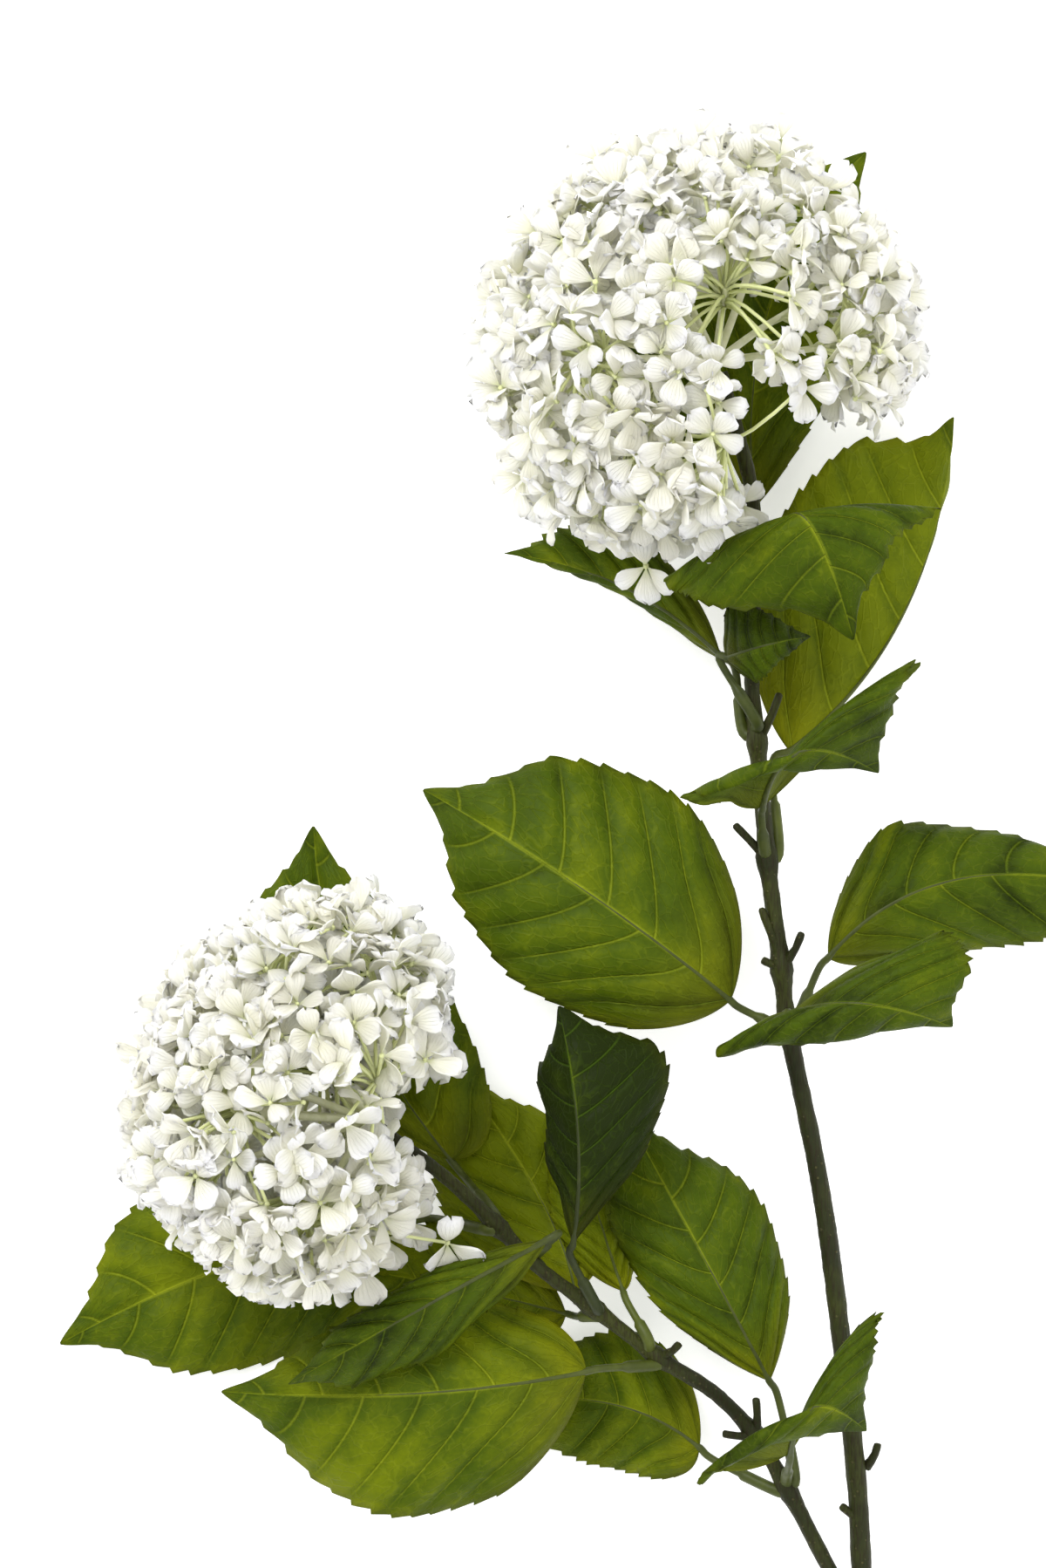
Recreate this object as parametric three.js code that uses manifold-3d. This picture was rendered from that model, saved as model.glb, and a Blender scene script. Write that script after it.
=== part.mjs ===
// Cut viburnum: two snowball flower heads on a forked woody stem with 21 leaves, laid down flat.
// Millimetres. +Z is up from the surface, +Y runs along the stem towards the upper flower head.
import * as THREE from "three";
import { mergeVertices } from "three/addons/utils/BufferGeometryUtils.js";
import Module from "manifold-3d";

const wasm = await Module();
wasm.setup();

const vec = (x, y, z) => new THREE.Vector3(x, y, z);

// ---- Driving dimensions ----
const GAP = 0.3; // clearance between pieces that touch
const STEM_SIDES = 8;
const STEM_STEP = 9; // length of one stem segment
const NODE_SWELLING = 1.1; // how much the stem thickens where leaves grow
const NODE_LENGTH = 4.5; // half length of that thickening
const STUB_RADIUS = 1.1; // snapped-off side twigs
const TAPER = 1.3; // how much thicker a twig or ray is where it starts
const FORK_SHARE = 0.3; // the side branch leaves the main stem 30 percent of the way up
const PETIOLE_RADIUS = 1.2;
const PETIOLE_BEND = 0.35; // how early a stalk turns into line with its midrib
const PETIOLE_STATIONS = [0, 0.35, 0.7];
const LEAF_THICKNESS = 0.7;
const MIDRIB_THICKNESS = 1.5;
const WIDEST_AT = 0.4; // a blade is widest 40 percent of the way to its tip
const WIDEST_VALUE = 0.4317; // brings the width formula below to 1 at its widest
const BLADE_STATIONS = [0.04, 0.13, 0.26, 0.4, 0.55, 0.7, 0.83, 0.93, 0.985];
const ACROSS = [-1, -0.5, 0, 0.5, 1];
const HEAD_UNDERSIDE = 7.5; // the soft heads are pressed flat this far above the surface
const HEAD_HOLLOW = 0.56; // the inner hollow as a share of the head
const HEAD_ENTRY = 24; // radius of the opening that the stem enters by
const HEAD_BEYOND = 120; // further than any head reaches
const CLUSTER_GAP = 0.4;
const CLUSTER_DOME = 0.35; // how much each floret cluster bulges between its borders
const RAY_RADIUS = 1.1;
const RAY_REACH = 0.5; // where a ray ends, as a share of the head
const HUB_RADIUS = 3.4;

const petalWhite = { color: 0xf4f3ea, roughness: 0.6, metalness: 0 };
const rayGreen = { color: 0xc3cb92, roughness: 0.55, metalness: 0 };
const leafGreen = { color: 0x5f7a1f, roughness: 0.45, metalness: 0 };
const stemBark = { color: 0x3d4220, roughness: 0.6, metalness: 0 };

// ---- Stems: centre-line points from the cut end to the flower head ----
const mainStem = {
  path: [
    vec(112, -402, 3.9),
    vec(105.5, -322, 10.5),
    vec(99, -246.5, 17),
    vec(96.2, -200.2, 21),
    vec(90.5, -150.2, 25.2),
    vec(85, -112.8, 28.4),
    vec(76.2, -70.2, 32), // lower leaf node
    vec(74.2, -52.8, 33.4),
    vec(70, -21.5, 36), // middle leaf node
    vec(67, 12.2, 39), // upper leaf node
    vec(65.5, 29.8, 40.4),
    vec(66.2, 62, 43), // crown node, just under the head
    vec(65.5, 82, 45),
    vec(61, 101, 47.6),
    vec(56.4, 117, 50),
  ],
  nodes: [2, 6, 7, 8, 9, 11],
  rootRadius: 3.6,
  tipRadius: 1.9,
};
const sideBranch = {
  path: [
    vec(99, -246.5, 17), // on the main stem's axis, cut back to its bark
    vec(94, -236.5, 17.8),
    vec(87.5, -224.8, 19),
    vec(76.2, -203.2, 21), // fork leaf node
    vec(67, -187.8, 23),
    vec(55, -175.2, 26),
    vec(38.8, -164.8, 28.5), // lower leaf node
    vec(20, -150.2, 32), // middle leaf node
    vec(5, -139, 35),
    vec(-7.5, -126.5, 37.5), // node under the head
    vec(-22, -112.5, 43),
    vec(-41, -98, 49),
  ],
  nodes: [3, 4, 6, 7, 9],
  rootRadius: 2.6,
  tipRadius: 1.9,
};

// Snapped side twigs: where each starts on the stem's axis and where it ends.
const mainStubs = [
  [vec(74.2, -52.8, 33.4), vec(68.5, -50.3, 36)],
  [vec(74.2, -52.8, 33.4), vec(80, -42.5, 37)],
  [vec(74.2, -52.8, 33.4), vec(68.2, -35.5, 37)],
  [vec(70, -21.5, 36), vec(60.5, -11.5, 38)],
  [vec(67, 12.2, 39), vec(73.4, 26, 42)],
  [vec(99, -197, 20), vec(102.4, -190, 22)],
  [vec(96.5, -212, 20), vec(91.6, -208, 22)],
];
const sideStubs = [
  [vec(67, -187.8, 23), vec(57.5, -187, 26)],
  [vec(67, -187.8, 23), vec(67, -176.6, 27)],
  [vec(38.8, -164.8, 28.5), vec(45, -160.5, 33)],
];

// ---- Leaves ----
// joint: the side of the stem the stalk grows from; base, middle and tip: the midrib;
// left and right: the margins at the widest place.
const leaves = {
  crown_right_leaf: {
    joint: vec(67.5, 60, 36),
    base: vec(67, 80, 11),
    middle: vec(79, 125, 2.8),
    tip: vec(98.5, 181, 2),
    left: vec(62, 122, 2.4),
    right: vec(86, 118, 2.6),
  },
  crown_left_leaf: {
    joint: vec(62, 62, 40),
    base: vec(55, 77, 9),
    middle: vec(35, 112, 1.6),
    tip: vec(7, 138, 1.2),
    left: vec(25, 95, 1.6),
    right: vec(47, 127, 1.4),
  },
  upper_front_leaf: {
    joint: vec(67.5, 60, 48),
    base: vec(72, 66, 60),
    middle: vec(80.5, 75.5, 88),
    tip: vec(96, 42, 68),
    left: vec(41, 60, 70),
    right: vec(119.5, 78, 74),
  },
  upper_left_leaf: {
    joint: vec(63, 15, 38),
    base: vec(57, 36, 37),
    middle: vec(28, 57, 27),
    tip: vec(-5.5, 66.5, 18),
    left: vec(34, 52, 20),
    right: vec(28, 75, 22),
  },
  upper_small_leaf: {
    joint: vec(66.5, 17, 44),
    base: vec(58, 36, 48),
    middle: vec(69, 40, 60),
    tip: vec(82, 42, 52),
    left: vec(67, 50, 55),
    right: vec(68.5, 29.5, 50),
  },
  upper_back_leaf: {
    joint: vec(74, -20, 34),
    base: vec(77, 9, 29),
    middle: vec(108, 50, 24),
    tip: vec(124.5, 106, 20),
    left: vec(73, 74, 27),
    right: vec(101, 65, 3),
  },
  middle_front_leaf: {
    joint: vec(69, -19, 41),
    base: vec(68, -6.5, 50),
    middle: vec(78, 9, 76),
    tip: vec(101, 3, 58),
    left: vec(45, -5.5, 60),
    right: vec(111, 35, 66),
  },
  main_left_leaf: {
    joint: vec(72, -70, 33),
    base: vec(59.5, -62, 36),
    middle: vec(17, -30, 42),
    tip: vec(-29, -1.5, 26),
    left: vec(44, -4, 34),
    right: vec(5, -61, 32),
  },
  right_front_leaf: {
    joint: vec(76.5, -68, 37),
    base: vec(76, -65, 50),
    middle: vec(96, -62, 70),
    tip: vec(118, -72, 58),
    left: vec(55.5, -78, 52),
    right: vec(116, -41, 62),
  },
  right_back_leaf: {
    joint: vec(79, -68, 31),
    base: vec(88, -50, 26),
    middle: vec(127.5, -27, 26),
    tip: vec(184, -34, 12),
    left: vec(112.5, -13, 18),
    right: vec(125, -50, 16),
  },
  fork_right_leaf: {
    joint: vec(79, -200, 22),
    base: vec(71, -172, 26),
    middle: vec(53, -138, 31),
    tip: vec(29.5, -95, 20),
    left: vec(35.5, -148, 25),
    right: vec(76, -135, 21),
  },
  fork_front_leaf: {
    joint: vec(77, -201, 26),
    base: vec(76, -191.5, 42),
    middle: vec(82.5, -176.5, 62),
    tip: vec(96, -184, 48),
    left: vec(49, -198, 46),
    right: vec(101, -149.5, 52),
  },
  fork_left_leaf: {
    joint: vec(72, -205, 20),
    base: vec(51, -192, 15),
    middle: vec(22.5, -179, 11),
    tip: vec(-14, -181.5, 7),
    left: vec(30, -200, 7),
    right: vec(35, -160, 7),
  },
  lower_front_leaf: {
    joint: vec(37, -168.5, 31),
    base: vec(18, -168, 42),
    middle: vec(-32.5, -174, 46),
    tip: vec(-87, -174.5, 30),
    left: vec(-24, -209.5, 34),
    right: vec(-20, -148, 36),
  },
  branch_side_leaf: {
    joint: vec(37, -160, 32),
    base: vec(29, -146, 27),
    middle: vec(22, -125, 20),
    tip: vec(12.5, -91, 15),
    left: vec(10, -130, 16),
    right: vec(31, -131, 17),
  },
  lower_fold_leaf: {
    joint: vec(16, -152.5, 35),
    base: vec(6.5, -131, 56),
    middle: vec(-30, -149, 66),
    tip: vec(-67, -171, 50),
    left: vec(-22, -160.5, 50),
    right: vec(-31, -140.5, 58),
  },
  upright_leaf: {
    joint: vec(22, -147, 36),
    base: vec(9.5, -132, 46),
    middle: vec(15, -100, 60),
    tip: vec(10, -63, 52),
    left: vec(6, -108, 36),
    right: vec(44, -81.5, 50),
  },
  branch_back_leaf: {
    joint: vec(19, -147, 28),
    base: vec(15, -147, 22),
    middle: vec(5, -120, 11),
    tip: vec(-19.5, -83, 4),
    left: vec(-23, -125, 4),
    right: vec(25, -115, 11),
  },
  branch_under_leaf: {
    joint: vec(19, -154, 29),
    base: vec(12.5, -153, 19),
    middle: vec(-10, -145, 6),
    tip: vec(-41, -132, 3),
    left: vec(-5, -161, 4.5),
    right: vec(-7.5, -125, 5),
  },
  head_left_leaf: {
    joint: vec(-11, -129, 36),
    base: vec(-33, -127, 8),
    middle: vec(-83, -139, 4.5),
    tip: vec(-135, -163, 2),
    left: vec(-66, -166, 2.5),
    right: vec(-90, -110, 2.5),
  },
  head_back_leaf: {
    joint: vec(-8, -123, 34),
    base: vec(-21, -109, 9.5),
    middle: vec(-50, -62, 3),
    tip: vec(-61, -12, 2.2),
    left: vec(-83, -66, 2.2),
    right: vec(-15, -74, 6),
  },
};

// ---- Flower heads ----
const heads = {
  upper: {
    centre: vec(49, 125, 58),
    axis: vec(-0.5, 0.78, 0.37).normalize(),
    across: 65,
    along: 56,
    stem: mainStem,
  },
  lower: {
    centre: vec(-66.5, -88.5, 58),
    axis: vec(-0.9, 0.38, 0.2).normalize(),
    across: 62,
    along: 46,
    stem: sideBranch,
  },
};
const clusterRings = [
  { count: 1, polar: 0 },
  { count: 5, polar: 60 },
  { count: 5, polar: 112 },
];

// ---- Solids ----
// A closed geometry through rings of points, each ring counter-clockwise about the way it travels.
function loft(rings) {
  const size = rings[0].length;
  const positions = rings.flat().flatMap((p) => [p.x, p.y, p.z]);
  const indices = [];
  for (let r = 0; r + 1 < rings.length; r++) {
    for (let i = 0; i < size; i++) {
      const a = r * size + i;
      const b = r * size + ((i + 1) % size);
      indices.push(a, b, b + size, a, b + size, a + size);
    }
  }
  const last = (rings.length - 1) * size;
  for (let i = 0; i + 1 < size / 2; i++) {
    const [a, b, c, d] = [i, i + 1, size - 2 - i, size - 1 - i];
    indices.push(a, c, b, a, d, c);
    indices.push(last + a, last + b, last + c, last + a, last + c, last + d);
  }
  const geometry = new THREE.BufferGeometry();
  geometry.setAttribute("position", new THREE.Float32BufferAttribute(positions, 3));
  geometry.setIndex(indices);
  return geometry;
}

function toSolid(geometry) {
  const bare = geometry.clone();
  bare.deleteAttribute("normal");
  bare.deleteAttribute("uv");
  const merged = mergeVertices(bare, 1e-3);
  return new wasm.Manifold(
    new wasm.Mesh({
      numProp: 3,
      vertProperties: merged.attributes.position.array,
      triVerts: new Uint32Array(merged.index.array),
    }),
  );
}

function toGeometry(solid) {
  const mesh = solid.getMesh();
  const geometry = new THREE.BufferGeometry();
  geometry.setAttribute("position", new THREE.Float32BufferAttribute(mesh.vertProperties, 3));
  geometry.setIndex(Array.from(mesh.triVerts));
  geometry.computeVertexNormals();
  return geometry;
}

// A cylinder or cone between two points.
function rod(from, to, fromRadius, toRadius, sides) {
  const along = to.clone().sub(from);
  const geometry = new THREE.CylinderGeometry(toRadius, fromRadius, along.length(), sides);
  const turn = new THREE.Quaternion().setFromUnitVectors(vec(0, 1, 0), along.clone().normalize());
  geometry.applyQuaternion(turn);
  const middle = from.clone().add(to).multiplyScalar(0.5);
  geometry.translate(middle.x, middle.y, middle.z);
  return toSolid(geometry);
}

// A large box that fills everything beyond the plane through a point.
function beyond(point, normal) {
  const size = 400;
  const geometry = new THREE.BoxGeometry(size, size, size);
  geometry.translate(0, 0, size / 2);
  geometry.applyQuaternion(new THREE.Quaternion().setFromUnitVectors(vec(0, 0, 1), normal));
  geometry.translate(point.x, point.y, point.z);
  return toSolid(geometry);
}

// ---- Stems ----
function stemRadius(stem, point, share) {
  let radius = THREE.MathUtils.lerp(stem.rootRadius, stem.tipRadius, share);
  for (const index of stem.nodes) {
    const distance = point.distanceTo(stem.path[index]) / NODE_LENGTH;
    radius += NODE_SWELLING * Math.exp(-distance * distance);
  }
  return radius;
}

function stemSolid(stem, stubs) {
  const curve = new THREE.CatmullRomCurve3(stem.path, false, "centripetal");
  const steps = Math.round(curve.getLength() / STEM_STEP);
  const frames = curve.computeFrenetFrames(steps, false);
  const rings = [];
  for (let s = 0; s <= steps; s++) {
    const centre = curve.getPointAt(s / steps);
    const radius = stemRadius(stem, centre, s / steps);
    const ring = [];
    for (let i = 0; i < STEM_SIDES; i++) {
      const angle = (2 * Math.PI * i) / STEM_SIDES;
      const out = frames.normals[s].clone().multiplyScalar(Math.cos(angle) * radius);
      out.addScaledVector(frames.binormals[s], Math.sin(angle) * radius);
      ring.push(centre.clone().add(out));
    }
    rings.push(ring);
  }
  let solid = toSolid(loft(rings));
  for (const [from, to] of stubs) solid = solid.add(rod(from, to, STUB_RADIUS * TAPER, STUB_RADIUS, 6));
  return solid;
}

// What the side branch leaves free for the main stem where the two meet.
function forkSleeve() {
  const [, below, fork, above] = mainStem.path;
  const radius = stemRadius(mainStem, fork, FORK_SHARE) + GAP;
  return rod(fork.clone().lerp(below, 0.4), fork.clone().lerp(above, 0.9), radius, radius, 16);
}

// The point on a stem's axis nearest to a place, with the direction and radius there.
function nearestOnStem(stem, place) {
  const curve = new THREE.CatmullRomCurve3(stem.path, false, "centripetal");
  const samples = 400;
  let best = null;
  for (let s = 0; s <= samples; s++) {
    const share = s / samples;
    const point = curve.getPointAt(share);
    const distance = point.distanceTo(place);
    if (!best || distance < best.distance) best = { point, share, distance };
  }
  best.tangent = curve.getTangentAt(best.share);
  best.radius = stemRadius(stem, best.point, best.share);
  return best;
}

// ---- Leaves ----
// How wide the blade is at t, as a share of its widest: round at the base, drawn out at the tip.
function bladeWidth(t) {
  const s = THREE.MathUtils.smoothstep(t, 0.72, 0.95);
  return ((Math.sqrt(t) * Math.pow(1 - t, 0.75)) / WIDEST_VALUE) * (1 - 0.55 * s);
}

// A curve that passes through the middle point half way.
function through(from, middle, to) {
  const control = middle.clone().multiplyScalar(2).addScaledVector(from, -0.5).addScaledVector(to, -0.5);
  return new THREE.QuadraticBezierCurve3(from, control, to);
}

// One ring of the leaf: the upper face from the left margin to the right, then the lower face back.
function leafRing(centre, tangent, left, right, midThickness, edgeThickness) {
  const leftNormal = tangent.clone().cross(left).normalize();
  const rightNormal = right.clone().cross(tangent).normalize();
  const midNormal = leftNormal.clone().add(rightNormal).normalize();
  const upper = [];
  const lower = [];
  for (const v of ACROSS) {
    const place = centre.clone().addScaledVector(v < 0 ? left : right, Math.abs(v));
    const normal = v === 0 ? midNormal : v < 0 ? leftNormal : rightNormal;
    const half = THREE.MathUtils.lerp(midThickness, edgeThickness, Math.abs(v)) / 2;
    upper.push(place.clone().addScaledVector(normal, half));
    lower.unshift(place.clone().addScaledVector(normal, -half));
  }
  return [...upper, ...lower];
}

function atLeast(vector, length) {
  return vector.clone().setLength(Math.max(vector.length(), length));
}

function leafSolid(leaf, stem) {
  const midrib = through(leaf.base, leaf.middle, leaf.tip);
  const widest = midrib.getPoint(WIDEST_AT);
  const left = leaf.left.clone().sub(widest);
  const right = leaf.right.clone().sub(widest);
  const blade = BLADE_STATIONS.map((t) => {
    const reach = bladeWidth(t);
    return leafRing(
      midrib.getPoint(t),
      midrib.getTangent(t),
      atLeast(left.clone().multiplyScalar(reach), PETIOLE_RADIUS * (1 - t)),
      atLeast(right.clone().multiplyScalar(reach), PETIOLE_RADIUS * (1 - t)),
      THREE.MathUtils.lerp(MIDRIB_THICKNESS, LEAF_THICKNESS, t),
      LEAF_THICKNESS,
    );
  });
  const axis = nearestOnStem(stem, leaf.joint);
  const outward = leaf.joint.clone().sub(axis.point).projectOnPlane(axis.tangent).normalize();
  const start = axis.point.clone().addScaledVector(outward, axis.radius + GAP + PETIOLE_RADIUS);
  const bladeStart = midrib.getPoint(0);
  const bend = bladeStart.clone().addScaledVector(midrib.getTangent(0), -PETIOLE_BEND * start.distanceTo(bladeStart));
  const stalk = new THREE.QuadraticBezierCurve3(start, bend, bladeStart);
  const acrossDirection = right.clone().sub(left).normalize();
  const petiole = PETIOLE_STATIONS.map((t) => {
    const tangent = stalk.getTangent(t);
    const side = acrossDirection.clone().projectOnPlane(tangent).setLength(PETIOLE_RADIUS);
    const radius = PETIOLE_RADIUS;
    return leafRing(stalk.getPoint(t), tangent, side.clone().negate(), side, 2 * radius, radius);
  });
  return toSolid(loft([...petiole, ...blade]));
}

// ---- Flower heads ----
function clusterDirections(head) {
  const turn = new THREE.Quaternion().setFromUnitVectors(vec(0, 0, 1), head.axis);
  const directions = [];
  clusterRings.forEach(({ count, polar }, ring) => {
    for (let i = 0; i < count; i++) {
      const azimuth = (2 * Math.PI * (i + 0.5 * ring)) / count;
      const place = vec(0, 0, 0).setFromSphericalCoords(1, THREE.MathUtils.degToRad(polar), azimuth);
      directions.push(vec(place.z, place.x, place.y).applyQuaternion(turn));
    }
  });
  return directions;
}

// A point of the head's ellipsoid, scaled by share, in a direction from its centre.
function onHead(head, direction, share) {
  const along = direction.dot(head.axis);
  const across = Math.sqrt(Math.max(0, 1 - along * along));
  const radius = 1 / Math.hypot(along / head.along, across / head.across);
  return head.centre.clone().addScaledVector(direction, radius * share);
}

function headShell(head, directions) {
  const outside = new THREE.IcosahedronGeometry(1, 5);
  const inside = new THREE.IcosahedronGeometry(1, 2);
  const shape = (geometry, shareOf) => {
    const position = geometry.getAttribute("position");
    for (let i = 0; i < position.count; i++) {
      const direction = vec(0, 0, 0).fromBufferAttribute(position, i).normalize();
      const place = onHead(head, direction, shareOf(direction));
      position.setXYZ(i, place.x, place.y, place.z);
    }
    return toSolid(geometry);
  };
  const domed = (direction) => {
    const nearest = Math.max(...directions.map((d) => d.dot(direction)));
    return 1 - CLUSTER_DOME * (1 - nearest);
  };
  const far = head.centre.clone().addScaledVector(head.axis, -HEAD_BEYOND);
  const surface = vec(0, 0, HEAD_UNDERSIDE);
  return shape(outside, domed)
    .subtract(shape(inside, () => HEAD_HOLLOW))
    .subtract(rod(head.centre, far, HEAD_ENTRY, HEAD_ENTRY, 16))
    .subtract(beyond(surface, vec(0, 0, -1)));
}

function clusterSolid(head, shell, directions, index) {
  const own = directions[index];
  let solid = shell;
  directions.forEach((other, i) => {
    if (i === index) return;
    const normal = other.clone().sub(own).normalize();
    const plane = head.centre.clone().addScaledVector(normal, -CLUSTER_GAP / 2);
    solid = solid.subtract(beyond(plane, normal));
  });
  return solid;
}

function raysSolid(head, directions) {
  const path = head.stem.path;
  const stemEnd = path[path.length - 1];
  const stemWay = stemEnd.clone().sub(path[path.length - 2]).normalize();
  const hub = stemEnd.clone().addScaledVector(stemWay, HUB_RADIUS + GAP);
  const ball = new THREE.IcosahedronGeometry(HUB_RADIUS, 1);
  ball.translate(hub.x, hub.y, hub.z);
  let solid = toSolid(ball);
  for (const direction of directions) {
    const end = onHead(head, direction, RAY_REACH);
    solid = solid.add(rod(hub, end, RAY_RADIUS * TAPER, RAY_RADIUS, 6));
  }
  return solid;
}

// ---- Assembly ----
const plant = new THREE.Group();

function place(name, solid, look) {
  const mesh = new THREE.Mesh(toGeometry(solid), new THREE.MeshStandardMaterial(look));
  mesh.name = name;
  plant.add(mesh);
}

place("main_stem", stemSolid(mainStem, mainStubs), stemBark);
place("side_branch", stemSolid(sideBranch, sideStubs).subtract(forkSleeve()), stemBark);

for (const [name, leaf] of Object.entries(leaves)) {
  const onMain = nearestOnStem(mainStem, leaf.joint).distance < nearestOnStem(sideBranch, leaf.joint).distance;
  place(name, leafSolid(leaf, onMain ? mainStem : sideBranch), leafGreen);
}

for (const [name, head] of Object.entries(heads)) {
  const directions = clusterDirections(head);
  const shell = headShell(head, directions);
  directions.forEach((_, i) => {
    place(`${name}_florets_${i + 1}`, clusterSolid(head, shell, directions, i), petalWhite);
  });
  place(`${name}_rays`, raysSolid(head, directions), rayGreen);
}

// The origin is the middle of the footprint, on the surface.
const bounds = new THREE.Box3().setFromObject(plant, true);
plant.position.set(
  -(bounds.min.x + bounds.max.x) / 2,
  -(bounds.min.y + bounds.max.y) / 2,
  -bounds.min.z,
);

export default plant;
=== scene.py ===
import math

import bpy
import numpy as np
from mathutils import Matrix, Vector


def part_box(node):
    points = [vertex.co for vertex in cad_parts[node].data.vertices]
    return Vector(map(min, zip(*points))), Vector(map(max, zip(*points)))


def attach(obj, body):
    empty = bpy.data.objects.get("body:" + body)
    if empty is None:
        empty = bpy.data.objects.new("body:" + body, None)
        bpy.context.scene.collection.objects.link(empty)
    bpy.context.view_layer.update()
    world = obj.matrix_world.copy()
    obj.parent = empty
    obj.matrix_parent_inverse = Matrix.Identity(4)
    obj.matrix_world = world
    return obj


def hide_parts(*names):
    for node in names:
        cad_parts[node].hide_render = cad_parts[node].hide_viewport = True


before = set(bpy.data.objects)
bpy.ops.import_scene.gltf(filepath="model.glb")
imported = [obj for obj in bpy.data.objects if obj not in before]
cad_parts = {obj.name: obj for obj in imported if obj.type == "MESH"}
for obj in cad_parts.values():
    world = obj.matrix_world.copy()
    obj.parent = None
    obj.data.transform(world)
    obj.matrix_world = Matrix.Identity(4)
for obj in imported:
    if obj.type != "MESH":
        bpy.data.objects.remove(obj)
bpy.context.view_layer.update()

# ---- Stage ----
# A pale table top under soft light from overhead. The spray lies on it and the camera looks
# straight down. The spray's own millimetres are measured from the middle of the view.
MM = 0.001
STEM_CORNER = np.array((54.5725, -402.4140, 0.3122))  # the main stem's lowest corner, so measured
SPRAY_ORIGIN = np.array(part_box("main_stem")[0]) - STEM_CORNER * MM
VIEW_LEVEL = 35  # height over the table of the plane that fills the view, millimetres
VIEW_HEIGHT = 449.5 * MM  # how much of that plane the view takes in
LENS = 180
SENSOR = 36
ROOM_LIGHT = 0.91
TABLE_SIZE = 8
TABLE_GLOW = 0.5  # keeps the table top pale out to its edges


def in_frame(points):
    return np.asarray(points, float) * MM + SPRAY_ORIGIN


def deselect():
    bpy.ops.object.select_all(action="DESELECT")


view_centre = in_frame((0, 0, VIEW_LEVEL))
camera_data = bpy.data.cameras.new("camera")
camera_data.lens = LENS
camera_data.sensor_width = SENSOR
camera = bpy.data.objects.new("camera", camera_data)
camera.location = view_centre + np.array((0, 0, VIEW_HEIGHT * LENS / SENSOR))
bpy.context.scene.collection.objects.link(camera)
bpy.context.scene.camera = camera


def soft_light(name, place, size, power):
    data = bpy.data.lights.new(name, "AREA")
    data.shape = "DISK"
    data.size = size
    data.energy = power
    light = bpy.data.objects.new(name, data)
    light.location = place
    aim = Vector(view_centre) - Vector(place)
    light.rotation_euler = aim.to_track_quat("-Z", "Y").to_euler()
    bpy.context.scene.collection.objects.link(light)


soft_light("key_light", place=(-0.7, 1.1, 1.7), size=0.8, power=25)
soft_light("fill_light", place=(1.2, -0.6, 1.6), size=1.6, power=9)
world = bpy.data.worlds.new("studio")
world.use_nodes = True
background = world.node_tree.nodes["Background"]
background.inputs["Color"].default_value = (1, 1, 1, 1)
background.inputs["Strength"].default_value = ROOM_LIGHT
bpy.context.scene.world = world
bpy.context.scene.view_settings.view_transform = "Standard"


class Wire:
    """An output socket with arithmetic: an expression on wires adds its Math nodes."""

    def __init__(self, paint, socket):
        self.paint = paint
        self.socket = socket

    def math(self, operation, first, second=0.0, clamp=False):
        settings = {"operation": operation, "use_clamp": clamp}
        return self.paint.node("ShaderNodeMath", settings, {0: first, 1: second})

    def __add__(self, other):
        return self.math("ADD", self, other)

    def __radd__(self, other):
        return self.math("ADD", other, self)

    def __sub__(self, other):
        return self.math("SUBTRACT", self, other)

    def __rsub__(self, other):
        return self.math("SUBTRACT", other, self)

    def __mul__(self, other):
        return self.math("MULTIPLY", self, other)

    def __rmul__(self, other):
        return self.math("MULTIPLY", other, self)

    def __pow__(self, other):
        return self.math("POWER", self, other)

    def __abs__(self):
        return self.math("ABSOLUTE", self)

    def fraction(self):
        return self.math("FRACT", self)

    def clamped(self):
        return self.math("ADD", self, 0.0, clamp=True)

    def step(self, low, high):
        """0 below low, 1 above high, smooth between; low may be the larger one."""
        rising = low < high
        settings = {"interpolation_type": "SMOOTHSTEP"}
        inputs = {0: self, 1: min(low, high), 2: max(low, high)}
        inputs[3] = 0.0 if rising else 1.0
        inputs[4] = 1.0 if rising else 0.0
        return self.paint.node("ShaderNodeMapRange", settings, inputs)


def colour(red, green, blue):
    """A display colour from 0 to 255 as the linear colour that sockets take."""
    linear = []
    for level in (red, green, blue):
        dark = level <= 10.31  # the display curve is a straight line near black
        linear.append(level / 3294.6 if dark else ((level / 255 + 0.055) / 1.055) ** 2.4)
    return (*linear, 1.0)


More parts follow.
